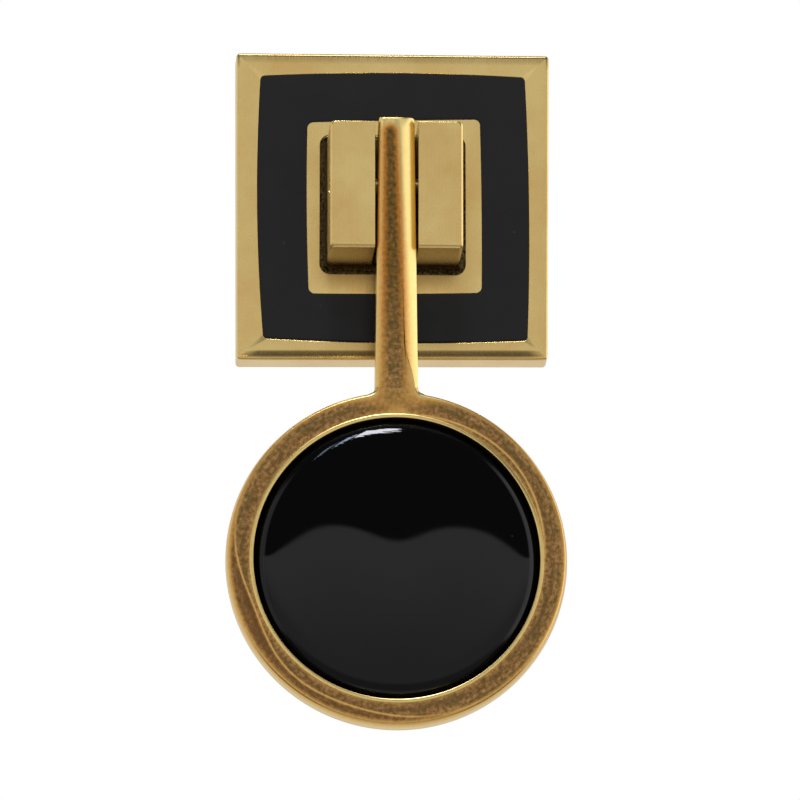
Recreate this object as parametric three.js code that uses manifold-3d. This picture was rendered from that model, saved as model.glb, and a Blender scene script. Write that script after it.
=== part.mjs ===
// Drop pull for a drawer or a small door, in millimetres.
// +Z is up, the pull faces -Y, and the drawer front starts at the plane y = 0.
// The origin is the middle of the back plate's rear face, on the fixing screw's axis.

import * as THREE from 'three';
import { mergeVertices } from 'three/addons/utils/BufferGeometryUtils.js';
import Module from 'manifold-3d';

const wasm = await Module();
wasm.setup();

// Back plate, with a channel for the enamel that leaves a square island in the middle.
const plateSide = 45;
const plateThickness = 5.6;
const plateCorner = 0.5;
const plateEdge = 0.4;
const channelSide = 38.1;
const channelBulge = 0.5;
const channelCorner = 0.6;
const channelDepth = 1.2;
const islandSide = 24.8;
const islandBulge = 0.1;
const islandCorner = 0.9;

// Pivot block: two ears on a flared foot, with a spigot through the plate.
const blockWidth = 19.0;
const blockHeight = 18.5;
const blockDepth = 14.0;
const blockRise = 0.3;
const blockCorner = 0.4;
const blockEdge = 0.35;
const footLip = 0.25;
const footFlare = 1.0;
const slotWidth = 6.2;
const heelStop = 0.05;
const spigotRadius = 4.0;
const tappedDepth = 6.5;

// Hinge pin, across the ears.
const pinRadius = 1.25;
const pinSetBack = 2.63;
const pinRecess = 0.1;

// Pendant: a tapered arm and a ring in one casting, with a recess for the domed disc.
const pendantThickness = 5.0;
const pendantProud = 0.2;
const pendantEdgeWidth = 0.95;
const pendantEdgeDepth = 1.7;
const armTopWidth = 5.1;
const armFootWidth = 6.1;
const armAboveBlock = 0.5;
const armFillet = 0.8;
const ringRadius = 24.3;
const ringDrop = 54.5;
const recessFloor = 1.4;
const rimWidth = 0.5;
const rimDepth = 1.0;
const discRadius = 20.4;
const discCrown = 1.9;
const discShoulder = 1.5;

// Fixing screw and washer, for a drawer front of the usual thickness.
const drawerFront = 18.0;
const screwRadius = 2.0;
const screwLength = 25.0;
const headRadius = 3.9;
const headHeight = 2.4;
const driveWidth = 1.0;
const driveDepth = 1.1;
const washerRadius = 4.5;
const washerThickness = 0.9;

// Gaps left between the pieces.
const seatGap = 0.03;
const pressGap = 0.02;
const runningGap = 0.06;

const roundSegments = 72;
const smallSegments = 24;

// Worked-out places, along Y and Z.
const plateFront = -plateThickness;
const blockFront = plateFront - blockDepth;
const pinY = blockFront + pinSetBack;
const pinZ = blockRise;
const pendantFront = blockFront - pendantProud;
const pendantBack = pendantFront + pendantThickness;
const armTop = blockRise + blockHeight / 2 + armAboveBlock;
// The arm's heel is a little longer than the slot is deep, which stops the swing near 80 degrees.
const slotFloor = pinY + armTop - pinZ - heelStop;
const ringZ = blockRise - ringDrop;
const washerFront = drawerFront;
const headSeat = washerFront + washerThickness + seatGap;

// Booleans

function toSolid(geometry) {
  const bare = geometry.clone();
  bare.deleteAttribute('normal');
  bare.deleteAttribute('uv');
  const merged = mergeVertices(bare, 1e-4);
  const mesh = new wasm.Mesh({
    numProp: 3,
    vertProperties: new Float32Array(merged.attributes.position.array),
    triVerts: new Uint32Array(merged.index.array),
  });
  return new wasm.Manifold(mesh);
}

function toGeometry(solid) {
  const mesh = solid.getMesh();
  const geometry = new THREE.BufferGeometry();
  geometry.setAttribute('position', new THREE.BufferAttribute(mesh.vertProperties, 3));
  geometry.setIndex(new THREE.BufferAttribute(mesh.triVerts, 1));
  geometry.computeVertexNormals();
  return geometry;
}

// Outlines, drawn in X and Z

function arcPoints(x, z, radius, startDegrees, endDegrees, steps) {
  const points = [];
  for (let i = 0; i <= steps; i += 1) {
    const angle = THREE.MathUtils.degToRad(startDegrees + (endDegrees - startDegrees) * i / steps);
    points.push(new THREE.Vector2(x + radius * Math.cos(angle), z + radius * Math.sin(angle)));
  }
  return points;
}

// A rectangle with round corners, whose sides may bulge outwards along parabolas.
function cushionPoints(width, height, corner, bulge = 0, steps = 4) {
  const x = width / 2 - corner;
  const z = height / 2 - corner;
  const corners = [[x, z, 0], [-x, z, 90], [-x, -z, 180], [x, -z, 270]];
  const points = corners.flatMap(([cx, cz, start]) => arcPoints(cx, cz, corner, start, start + 90, steps));
  if (bulge === 0) {
    return points;
  }
  const sideSteps = 8;
  const outline = [];
  points.forEach((point, i) => {
    const next = points[(i + 1) % points.length];
    outline.push(point);
    if ((i + 1) % (steps + 1) !== 0) {
      return;
    }
    const outward = new THREE.Vector2(next.y - point.y, point.x - next.x).normalize();
    for (let k = 1; k < sideSteps; k += 1) {
      const along = k / sideSteps;
      const rise = 4 * bulge * along * (1 - along);
      outline.push(point.clone().lerp(next, along).addScaledVector(outward, rise));
    }
  });
  return outline;
}

// Solids

// An outline in X and Z, thickened from back to front along Y, with its edges rounded
// inside the outline.
function slab(points, back, front, edgeWidth = 0, edgeDepth = edgeWidth, holes = []) {
  const shape = new THREE.Shape(points);
  shape.holes = holes.map((hole) => new THREE.Path(hole));
  const geometry = new THREE.ExtrudeGeometry(shape, {
    depth: back - front - 2 * edgeDepth,
    steps: 1,
    bevelEnabled: edgeWidth > 0,
    bevelSize: edgeWidth,
    bevelThickness: edgeDepth,
    bevelOffset: -edgeWidth,
    bevelSegments: 3,
  });
  geometry.translate(0, 0, edgeDepth);
  geometry.rotateX(Math.PI / 2);
  geometry.translate(0, back, 0);
  return toSolid(geometry);
}

// A profile of [radius, y] pairs turned about an axis along Y.
function turned(profile, z = 0, segments = roundSegments) {
  const points = profile.map(([radius, y]) => new THREE.Vector2(radius, y));
  const geometry = new THREE.LatheGeometry(points, segments);
  geometry.translate(0, 0, z);
  return toSolid(geometry);
}

function cylinderAlongY(radius, back, front, segments = smallSegments) {
  const profile = [[0, front], [radius, front], [radius, back], [0, back]];
  return turned(profile, 0, segments);
}

function cylinderAlongX(radius, length) {
  const geometry = new THREE.CylinderGeometry(radius, radius, length, smallSegments);
  geometry.rotateZ(Math.PI / 2);
  geometry.translate(0, pinY, pinZ);
  return toSolid(geometry);
}

function box(width, depth, height, x, y, z) {
  const geometry = new THREE.BoxGeometry(width, depth, height);
  geometry.translate(x, y, z);
  return toSolid(geometry);
}

// Back plate and its enamel

function backPlate() {
  const outline = cushionPoints(plateSide, plateSide, plateCorner);
  const channel = cushionPoints(channelSide, channelSide, channelCorner, channelBulge);
  const island = cushionPoints(islandSide, islandSide, islandCorner, islandBulge);
  const cut = slab(channel, plateFront + channelDepth, plateFront - 1, 0, 0, [island]);
  return slab(outline, 0, plateFront, plateEdge)
    .subtract(cut)
    .subtract(cylinderAlongY(spigotRadius + pressGap * 3, 1, plateFront - 1, smallSegments * 2));
}

function plateEnamel() {
  const outer = channelSide - 2 * seatGap;
  const inner = islandSide + 2 * seatGap;
  const outline = cushionPoints(outer, outer, channelCorner, channelBulge);
  const island = cushionPoints(inner, inner, islandCorner, islandBulge);
  return slab(outline, plateFront + channelDepth - seatGap, plateFront, 0, 0, [island]);
}

// Pivot block

function raised(points) {
  return points.map((point) => new THREE.Vector2(point.x, point.y + blockRise));
}

function pivotBlock() {
  const footWidth = blockWidth + 2 * footFlare;
  const footHeight = blockHeight + 2 * footFlare;
  const blockOutline = raised(cushionPoints(blockWidth, blockHeight, blockCorner));
  const footOutline = raised(cushionPoints(footWidth, footHeight, blockCorner + footFlare));
  const aroundFoot = raised(cushionPoints(footWidth + 8, footHeight + 8, 3 * footFlare));
  const lipFront = plateFront - footLip;
  const foot = slab(footOutline, plateFront, lipFront - footFlare);
  // The cutter's hole is rounded where it meets the lip, which leaves the foot a hollow flare.
  const aboveLip = slab(aroundFoot, lipFront, lipFront - 4 * footFlare, footFlare, footFlare, [blockOutline]);
  const slotDepth = slotFloor - blockFront + 2;
  const slot = box(slotWidth, slotDepth, blockHeight * 2, 0, slotFloor - slotDepth / 2, blockRise);
  return slab(blockOutline, plateFront, blockFront, blockEdge)
    .add(foot.subtract(aboveLip))
    .subtract(slot)
    .add(cylinderAlongY(spigotRadius, 0, plateFront - footLip, smallSegments * 2))
    .subtract(cylinderAlongX(pinRadius + pressGap, blockWidth + 4))
    .subtract(cylinderAlongY(screwRadius + 2 * pressGap, 1, -tappedDepth));
}

function hingePin() {
  return cylinderAlongX(pinRadius, blockWidth - 2 * pinRecess);
}

// Pendant

// The arm's sides run straight down and turn into the ring through a small fillet.
function pendantOutline() {
  const topHalf = armTopWidth / 2;
  const footHalf = armFootWidth / 2;
  const filletX = footHalf + armFillet;
  const filletRise = Math.sqrt((ringRadius + armFillet) ** 2 - filletX ** 2);
  const filletZ = ringZ + filletRise;
  const meet = THREE.MathUtils.radToDeg(Math.atan2(filletRise, filletX));
  const rightFillet = arcPoints(filletX, filletZ, armFillet, 180, 180 + meet, 5);
  const leftFillet = arcPoints(-filletX, filletZ, armFillet, -meet, 0, 5);
  const ring = arcPoints(0, ringZ, ringRadius, meet, meet - 360 + 2 * (90 - meet), roundSegments);
  return [
    new THREE.Vector2(-topHalf, armTop),
    new THREE.Vector2(topHalf, armTop),
    ...rightFillet,
    ...ring.slice(1, -1),
    ...leftFillet,
  ].reverse();
}

function dropPendant() {
  const floor = pendantBack - recessFloor;
  const rim = pendantFront + rimDepth;
  const overshoot = 1.0;
  const recess = turned([
    [0, pendantFront - overshoot],
    [discRadius + rimWidth * (1 + overshoot / rimDepth), pendantFront - overshoot],
    [discRadius, rim],
    [discRadius, floor],
    [0, floor],
  ], ringZ);
  return slab(pendantOutline(), pendantBack, pendantFront, pendantEdgeWidth, pendantEdgeDepth)
    .subtract(recess)
    .subtract(cylinderAlongX(pinRadius + runningGap, armFootWidth * 2));
}

// A flat back, a straight edge in the recess, a tight shoulder, then a shallow crown.
function pendantDisc() {
  const back = pendantBack - recessFloor - seatGap;
  const edge = pendantFront + rimDepth;
  const radius = discRadius - seatGap;
  const crown = pendantFront - discCrown;
  const shoulderTop = edge - discShoulder;
  const profile = [[0, crown]];
  const crownSteps = 4;
  for (let i = 1; i <= crownSteps; i += 1) {
    const out = i / crownSteps;
    profile.push([(radius - discShoulder) * out, crown + (shoulderTop - crown) * out * out]);
  }
  const shoulderSteps = 3;
  for (let i = 1; i <= shoulderSteps; i += 1) {
    const turn = Math.PI / 2 * i / shoulderSteps;
    profile.push([
      radius - discShoulder * (1 - Math.sin(turn)),
      edge - discShoulder * Math.cos(turn),
    ]);
  }
  profile.push([radius, back], [0, back]);
  return turned(profile, ringZ);
}

// Fixing screw and washer

function mountingScrew() {
  const tip = headSeat - screwLength;
  const headEnd = headSeat + headHeight;
  const shank = screwRadius - pressGap;
  const profile = [
    [0, tip],
    [shank - 0.6, tip],
    [shank, tip + 0.6],
    [shank, headSeat],
    [headRadius, headSeat],
    [headRadius, headSeat + 1.2],
    [headRadius - 0.35, headSeat + 1.9],
    [headRadius - 1.2, headEnd],
    [0, headEnd],
  ];
  const drive = box(driveWidth, 2 * driveDepth, 4 * headRadius, 0, headEnd, 0);
  return turned(profile, 0, smallSegments * 2).subtract(drive);
}

function screwWasher() {
  const washerBack = washerFront + washerThickness;
  const bore = screwRadius + 0.15;
  return turned([
    [bore, washerFront],
    [washerRadius, washerFront],
    [washerRadius, washerBack],
    [bore, washerBack],
    [bore, washerFront],
  ], 0, smallSegments * 2);
}

// Finishes

const polishedBrass = { color: 0xc8a561, roughness: 0.22, metalness: 1.0 };
const agedBrass = { color: 0xa67c42, roughness: 0.34, metalness: 1.0 };
const blackEnamel = { color: 0x1c1b1a, roughness: 0.18, metalness: 0.0 };
const blackDome = { color: 0x060607, roughness: 0.04, metalness: 0.0 };
const steel = { color: 0xb4b3ae, roughness: 0.35, metalness: 1.0 };

function piece(name, solid, finish) {
  const mesh = new THREE.Mesh(toGeometry(solid), new THREE.MeshStandardMaterial(finish));
  mesh.name = name;
  return mesh;
}

const fixedPieces = new THREE.Group();
fixedPieces.add(
  piece('back_plate', backPlate(), polishedBrass),
  piece('plate_enamel', plateEnamel(), blackEnamel),
  piece('pivot_block', pivotBlock(), polishedBrass),
  piece('hinge_pin', hingePin(), steel),
  piece('mounting_screw', mountingScrew(), steel),
  piece('screw_washer', screwWasher(), steel),
);

const swingingPieces = new THREE.Group();
swingingPieces.add(
  piece('drop_pendant', dropPendant(), agedBrass),
  piece('pendant_disc', pendantDisc(), blackDome),
);

const dropPull = new THREE.Group();
dropPull.add(fixedPieces, swingingPieces);

export default dropPull;
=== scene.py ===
import math
from functools import partial
import bpy
import numpy as np
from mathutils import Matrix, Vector


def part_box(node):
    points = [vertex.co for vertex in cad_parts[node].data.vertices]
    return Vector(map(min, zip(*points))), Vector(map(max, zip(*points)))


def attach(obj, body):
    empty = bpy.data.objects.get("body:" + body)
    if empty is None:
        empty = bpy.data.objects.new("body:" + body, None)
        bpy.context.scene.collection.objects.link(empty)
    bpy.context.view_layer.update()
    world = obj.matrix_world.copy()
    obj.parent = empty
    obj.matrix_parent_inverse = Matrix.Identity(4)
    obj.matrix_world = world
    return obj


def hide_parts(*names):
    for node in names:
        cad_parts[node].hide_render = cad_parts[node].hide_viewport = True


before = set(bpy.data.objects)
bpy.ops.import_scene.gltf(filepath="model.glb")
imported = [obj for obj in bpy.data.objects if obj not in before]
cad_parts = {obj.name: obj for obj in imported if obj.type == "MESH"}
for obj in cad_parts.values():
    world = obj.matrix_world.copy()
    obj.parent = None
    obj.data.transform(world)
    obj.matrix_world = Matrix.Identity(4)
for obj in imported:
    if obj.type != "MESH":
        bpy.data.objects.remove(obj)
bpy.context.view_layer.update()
mm = 0.001

quarters = ((1, 1), (-1, 1), (-1, -1), (1, -1))  # the signs of both coordinates at four corners


def boxOf(node):  # a CAD node's lowest and highest corners, in millimetres
    low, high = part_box(node)
    return np.array(low) / mm, np.array(high) / mm


plateLow, _ = boxOf("back_plate")
blockLow, blockHigh = boxOf("pivot_block")
pinLow, pinHigh = boxOf("hinge_pin")
pendantLow, pendantHigh = boxOf("drop_pendant")
discLow, discHigh = boxOf("pendant_disc")
screwLow, screwHigh = boxOf("mounting_screw")
washerLow, washerHigh = boxOf("screw_washer")

plateFront = plateLow[1]
blockFront = blockLow[1]
blockMid = (blockLow[2] + blockHigh[2]) / 2
pinY = (pinLow[1] + pinHigh[1]) / 2
pinZ = (pinLow[2] + pinHigh[2]) / 2
pinRadius = (pinHigh[2] - pinLow[2]) / 2
pendantFront = pendantLow[1]
pendantBack = pendantHigh[1]
armTop = pendantHigh[2]
ringRadius = (pendantHigh[0] - pendantLow[0]) / 2
ringZ = pendantLow[2] + ringRadius


# ---- meshes ----

# A grid of points (rows, columns, xyz in mm) becomes a skin of four-sided faces. Columns always
# close on themselves. Rows close on themselves too when the ends are "ring"; otherwise each end is
# closed by one flat face. The skin is turned round if it encloses a negative volume.
def surface(name, grid, ends="caps", fields=None):
    rows, columns = grid.shape[:2]
    index = np.arange(rows * columns).reshape(rows, columns)
    across = np.roll(index, -1, axis=1)
    if ends == "ring":
        up = np.roll(index, -1, axis=0)
        upAcross = np.roll(across, -1, axis=0)
        quads = np.stack([index, across, upAcross, up], axis=-1).reshape(-1, 4)
        caps = []
    else:
        quads = np.stack([index[:-1], across[:-1], across[1:], index[1:]], axis=-1).reshape(-1, 4)
        caps = [index[0][::-1].tolist(), index[-1].tolist()]
    points = grid.reshape(-1, 3)
    a, b, c, d = (points[quads[:, i]] for i in range(4))
    volume = np.einsum("ij,ij->i", a, np.cross(b, c)).sum() + np.einsum("ij,ij->i", a, np.cross(c, d)).sum()
    for cap in caps:
        corner = points[cap]
        middle = corner.mean(axis=0)
        volume += np.einsum("j,ij->i", middle, np.cross(corner, np.roll(corner, -1, axis=0))).sum()
    if volume < 0:
        quads = quads[:, ::-1]
        caps = [cap[::-1] for cap in caps]
    mesh = bpy.data.meshes.new(name)
    mesh.from_pydata((points * mm).tolist(), [], quads.tolist() + caps)
    for field, values in (fields or {}).items():
        layer = mesh.attributes.new(field, "FLOAT", "POINT")
        spread = np.broadcast_to(values, (rows, columns)).reshape(-1)
        layer.data.foreach_set("value", spread.astype(np.float32))
    mesh.validate()
    mesh.shade_smooth()
    piece = bpy.data.objects.new(name, mesh)
    bpy.context.scene.collection.objects.link(piece)
    return piece


def bake(piece):  # the live modifiers become plain mesh
    graph = bpy.context.evaluated_depsgraph_get()
    ready = piece.evaluated_get(graph)
    made = bpy.data.meshes.new_from_object(ready, preserve_all_data_layers=True, depsgraph=graph)
    made.name = piece.name
    piece.modifiers.clear()
    piece.data = made


def cutAway(piece, cutter):
    cut = piece.modifiers.new("cut", "BOOLEAN")
    cut.operation = "DIFFERENCE"
    cut.solver = "EXACT"
    cut.object = cutter
    bake(piece)
    bpy.data.objects.remove(cutter)


# Flat faces keep flat shading next to rounded edges when the larger faces set the normals.
def evenShading(piece, sharpDegrees=35):
    piece.data.shade_smooth()
    piece.data.set_sharp_from_angle(angle=math.radians(sharpDegrees))
    weigh = piece.modifiers.new("even shading", "WEIGHTED_NORMAL")
    weigh.weight = 80
    weigh.keep_sharp = True


# ---- outlines ----

# A unit square with round corners, walked corner by corner: a quarter circle, then a straight run.
def unitSquare(ratio, cornerSteps, sideSteps):
    turn = np.linspace(0, np.pi / 2, cornerSteps + 1)
    run = np.linspace(1, -1, sideSteps + 1)[1:-1] * (1 - ratio)
    quarter = np.stack([
        np.concatenate([1 - ratio + ratio * np.cos(turn), run]),
        np.concatenate([1 - ratio + ratio * np.sin(turn), np.ones_like(run)]),
    ], axis=-1)
    turned = [quarter]
    for _ in range(3):
        turned.append(np.stack([-turned[-1][:, 1], turned[-1][:, 0]], axis=-1))
    return np.concatenate(turned)


# The unit square is stretched to four corners (a weighted mean of them at each point), and each
# side is bowed out along a parabola. grow moves the whole outline outwards.
def outline(shape, grow=0.0, cornerSteps=8, sideSteps=24):
    corners = np.array(shape["corners"], dtype=float)
    corners = corners + np.sign(corners - corners.mean(axis=0)) * grow
    half = (corners.max(axis=0) - corners.min(axis=0)).mean() / 2
    ratio = max(shape["corner"] + grow, 0.02) / half
    u, v = unitSquare(ratio, cornerSteps, sideSteps).T
    weights = np.stack([(1 + right * u) * (1 + up * v) for right, up in quarters], axis=-1) / 4
    points = weights @ corners
    right, top, left, bottom = shape.get("bow", (0, 0, 0, 0))
    points[:, 0] += np.where(u > 0, right, left) * u * (1 - v**2)
    points[:, 1] += np.where(v > 0, top, bottom) * v * (1 - u**2)
    return points


def circleLike(loop, radius, x=0.0, z=0.0):  # a circle with one point for each point of a loop
    angle = 2 * np.pi * np.arange(len(loop)) / len(loop) + np.arctan2(loop[0, 1], loop[0, 0])
    return np.stack([x + radius * np.cos(angle), z + radius * np.sin(angle)], axis=-1)


def layers(rows):  # pairs of (loop in X and Z, y) become one grid
    rings = [(loop[:, 0], np.broadcast_to(y, len(loop)), loop[:, 1]) for loop, y in rows]
    return np.stack([np.stack(ring, axis=-1) for ring in rings])


# A profile of (radius, along) pairs is carried round an axis: along X or along Y, through a point.
def turned(profile, columns, axis="y", x=0.0, y=0.0, z=0.0):
    radius, along = np.array(profile, dtype=float).T
    angle = 2 * np.pi * np.arange(columns) / columns
    first = radius[:, None] * np.cos(angle)
    second = radius[:, None] * np.sin(angle)
    level = np.broadcast_to(along[:, None], first.shape)
    if axis == "y":
        return np.stack([x + first, level, z + second], axis=-1)
    return np.stack([level, y + first, z + second], axis=-1)


def quarterTurn(steps):  # cosines and sines of evenly spaced angles from 0 to 90 degrees
    angle = np.linspace(0, np.pi / 2, steps + 1)
    return np.cos(angle), np.sin(angle)


def bell(distance, width):  # a bell curve: 1 at no distance, about a third at the width
    return np.exp(-((distance / width) ** 2))


def drillForPin(piece, clearance, reach):  # a hole along the hinge pin's axis
    radius = pinRadius + clearance
    hole = turned([(radius, -reach), (radius, reach)], 48, "x", y=pinY, z=pinZ)
    cutAway(piece, surface("drill", hole))


# ---- back plate and its enamel ----

plate = {
    "shape": {
        "corners": [(22.45, 22.45), (-22.4, 22.45), (-22.3, -22.5), (22.2, -22.15)],
        "corner": 0.55,
    },
    "channel": {
        "corners": [(18.95, 19.2), (-18.95, 19.1), (-18.5, -19.4), (19.3, -19.4)],
        "corner": 0.6,
        "bow": (0.42, 0.52, 0.66, 0.5),
    },
    "island": {
        "corners": [(12.5, 12.95), (-12.2, 12.3), (-12.0, -12.75), (12.75, -12.45)],
        "corner": 0.85,
        "bow": (0.12, 0.05, 0.2, 0.1),
    },
    "channelDepth": 1.2,
    "holeRadius": 4.03,
    "lip": 0.07,  # rounding where brass meets enamel
    "edge": 0.35,
    "shoulder": 1.5,  # width over which the front eases down to the edge
    "sideDrop": 0.05,
    "footDrop": 0.3,
    "edgeStart": 21.0,  # how far from the middle the top and lower edges begin
    "cornerStart": 21.8,
    "edgeEase": 1.2,
    "lowerEdgeShade": 0.75,  # painted shade along the lower edge's shoulder, standing in for a dark reflection
    "dustAndShade": 0.9,  # painted shade along the top edge, dimming its highlight
    "enamelDip": 0.035,
    "enamelReach": 0.01,  # the enamel is let into the walls by this much
    "enamelGap": 0.02,
    "meniscus": 0.02,
    "meniscusWidth": 0.35,
}


def makePlate():
    p = plate
    hole = circleLike(outline(p["island"]), p["holeRadius"])
    lip = p["lip"]
    floor = plateFront + p["channelDepth"]
    cosine, sine = quarterTurn(3)
    rows = [(hole, 0.0), (hole, plateFront)]
    for c, s in zip(cosine[::-1], sine[::-1]):
        rows.append((outline(p["island"], -lip * c), plateFront + lip * (1 - s)))
    rows += [(outline(p["island"]), floor), (outline(p["channel"]), floor)]
    for c, s in zip(cosine, sine):
        rows.append((outline(p["channel"], lip * (1 - c)), plateFront + lip * (1 - s)))
    border = outline(p["shape"])
    x, z = border.T
    # How much a point belongs to the lower edge: 1 along it, easing to 0 at its corners. And the
    # same for the top edge.
    start, corner, ease = p["edgeStart"], p["cornerStart"], p["edgeEase"]
    lower = np.clip((-z - start) / ease, 0, 1) * np.clip((corner - np.abs(x)) / ease, 0, 1)
    upper = np.clip((z - start) / ease, 0, 1)
    drop = p["sideDrop"] + (p["footDrop"] - p["sideDrop"]) * lower
    # The shoulder falls with the square of the distance from its inner line. It holds a band of painted
    # shade along the lower edge, standing in for a dark reflection, and a line of painted shade along the
    # top one that dims its highlight.
    bareBrass = np.zeros(len(border))
    paintedShade = [bareBrass] * len(rows)
    for part in np.linspace(0, 1, 12):
        inset = p["shoulder"] + (p["edge"] - p["shoulder"]) * part
        rows.append((outline(p["shape"], -inset), plateFront + drop * part**2))
        band = p["lowerEdgeShade"] * lower * np.clip(part / 0.3, 0, 1) * np.clip((0.95 - part) / 0.2, 0, 1)
        paintedShade.append(band + p["dustAndShade"] * upper * np.clip((part - 0.85) / 0.15, 0, 1))
    cosine, sine = quarterTurn(6)
    # The top edge's rounding carries painted shade too, dimming its highlight.
    for c, s in list(zip(cosine, sine))[1:]:
        rows.append((outline(p["shape"], -p["edge"] * (1 - s)), plateFront + drop + p["edge"] * (1 - c)))
        paintedShade.append(p["dustAndShade"] * upper * (1 - s))
    for c, s in zip(cosine, sine):
        rows.append((outline(p["shape"], -p["edge"] * (1 - c)), -p["edge"] * (1 - s)))
    paintedShade += [bareBrass] * (len(rows) - len(paintedShade))
    piece = surface("plateCasting", layers(rows), ends="ring", fields={"paintedShade": np.stack(paintedShade)})
    evenShading(piece)
    return piece


def makePlateEnamel():
    p = plate
    gap = p["enamelGap"]
    floor = plateFront + p["channelDepth"] - gap
    top = plateFront + p["enamelDip"]
    reach, rise, width = p["enamelReach"], p["meniscus"], p["meniscusWidth"]
    rows = [(outline(p["island"], -reach), floor), (outline(p["island"], -reach), plateFront + p["lip"])]
    # The surface creeps up the walls in a small meniscus.
    for part in np.linspace(0, 1, 5):
        rows.append((outline(p["island"], gap + width * part), top - rise * (1 - part) ** 2))
    for part in np.linspace(1, 0, 5):
        rows.append((outline(p["channel"], -gap - width * part), top - rise * (1 - part) ** 2))
    rows += [(outline(p["channel"], reach), plateFront + p["lip"]), (outline(p["channel"], reach), floor)]
    piece = surface("plateInlay", layers(rows), ends="ring")
    evenShading(piece)
    return piece


plateCasting = makePlate()
plateInlay = makePlateEnamel()
print("back plate and enamel made")


# ---- pivot block ----

block = {
    "width": 19.0,
    "height": 18.5,
    "corner": 0.6,
    "sideEdge": 0.5,
    "topEdge": 0.16,
    "lowerEdge": 0.6,
    "footLip": 0.22,
    "footEase": (0.08, 0.06),  # how much the lip's edges are broken, sideways and forwards
    "flareHeight": 1.5,
    "slotWidth": 6.2,
    "slotFloor": -7.0,
    "slotEdge": 0.28,
    "spigotRadius": 4.0,
    "spigotEase": 0.1,
    "tapRadius": 2.05,
    "tapDepth": 6.5,
    "tapChamfer": 0.3,
    "pinClearance": 0.02,
    # painted shade, as a share of the dark colour: in the foot's hollow, under the ears, in the slot and on
    # the front of the top edge
    "hollowShade": 0.97,
    "undersideShade": 0.78,
    "slotShade": 0.9,
    "topEdgeShade": 0.85,
}


def makeBlock():
    b = block
    halfWidth, halfHeight = b["width"] / 2, b["height"] / 2
    shape = {
        "corners": [(right * halfWidth, blockMid + up * halfHeight) for right, up in quarters],
        "corner": b["corner"],
    }
    steps = {"cornerSteps": 12, "sideSteps": 1}
    loop = outline(shape, **steps)
    tap, chamfer = b["tapRadius"], b["tapChamfer"]
    spigot, ease = b["spigotRadius"], b["spigotEase"]
    spread = (blockHigh[0] - blockLow[0]) / 2 - halfWidth
    sideEase, frontEase = b["footEase"]
    lipTop = plateFront - b["footLip"]
    rows = [
        (circleLike(loop, tap), -b["tapDepth"]),
        (circleLike(loop, tap), -chamfer),
        (circleLike(loop, tap + chamfer), 0.0),
        (circleLike(loop, spigot - ease), 0.0),
        (circleLike(loop, spigot), -ease),
        (circleLike(loop, spigot), plateFront),
        (outline(shape, spread - sideEase, **steps), plateFront),
        (outline(shape, spread, **steps), plateFront - frontEase),
        (outline(shape, spread, **steps), lipTop + frontEase),
    ]
    cosine, sine = quarterTurn(10)
    # The flare is a quarter of an ellipse, hollow side out, from the lip up to the block's side.
    for c, s in zip(cosine, sine):
        flare = (spread - frontEase) * (1 - s)
        rows.append((outline(shape, flare, **steps), lipTop - b["flareHeight"] * (1 - c)))
    # The front's edges are elliptical: each side comes in by its own rounding.
    body = outline(shape, **steps)
    inwards = np.where(body[:, 1:] > blockMid, b["topEdge"], b["lowerEdge"]) * np.array([[0, 1]])
    inwards = inwards + np.array([[b["sideEdge"], 0]])
    squeeze = inwards / np.array([[halfWidth, halfHeight]])
    cosine, sine = quarterTurn(8)
    for c, s in zip(cosine, sine):
        loop = body - (body - (0, blockMid)) * squeeze * (1 - c)
        rows.append((loop, blockFront + b["sideEdge"] * (1 - s)))
    piece = surface("clevisBlock", layers(rows))
    cutAway(piece, slotCutter())
    softenSlot(piece)
    drillForPin(piece, b["pinClearance"], b["width"])
    addPaintedShade(piece)
    evenShading(piece)
    return piece


# Painted shade: thick in the hollow of the foot, thinner on the undersides of the ears, and in the slot
# growing from nothing near its mouth. A thin line of painted shade lies along the front of the top edge,
# dimming its highlight.
def addPaintedShade(piece):
    b = block
    mesh = piece.data
    points = np.empty(len(mesh.vertices) * 3)
    mesh.vertices.foreach_get("co", points)
    x, y, z = points.reshape(-1, 3).T / mm
    depth = y - blockFront
    lipTop = plateFront - b["footLip"]
    flareTop = lipTop - b["flareHeight"]
    top = blockMid + b["height"] / 2
    hollow = np.clip((y - flareTop + 0.5) / 0.8, 0, 1) * (y < lipTop + 0.02) * b["hollowShade"]
    under = np.clip((depth - 0.3) / 0.6, 0, 1) * (z < blockMid - 6) * b["undersideShade"]
    inSlot = np.clip((depth - 0.6) / 3.5, 0, 1) * (np.abs(x) < b["slotWidth"] / 2 + 0.05) * b["slotShade"]
    topEdge = (z > top - 0.12) * (depth > 0.02) * (depth < 0.45) * b["topEdgeShade"]
    paintedShade = np.max([hollow, under, inSlot, topEdge], axis=0)
    layer = mesh.attributes.new("paintedShade", "FLOAT", "POINT")
    layer.data.foreach_set("value", paintedShade.astype(np.float32))


def slotCutter():
    half = block["slotWidth"] / 2
    loop = np.array([(right * half, blockMid + up * block["height"]) for right, up in quarters])
    return surface("slot cutter", layers([(loop, block["slotFloor"]), (loop, blockFront - 5)]))


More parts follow.
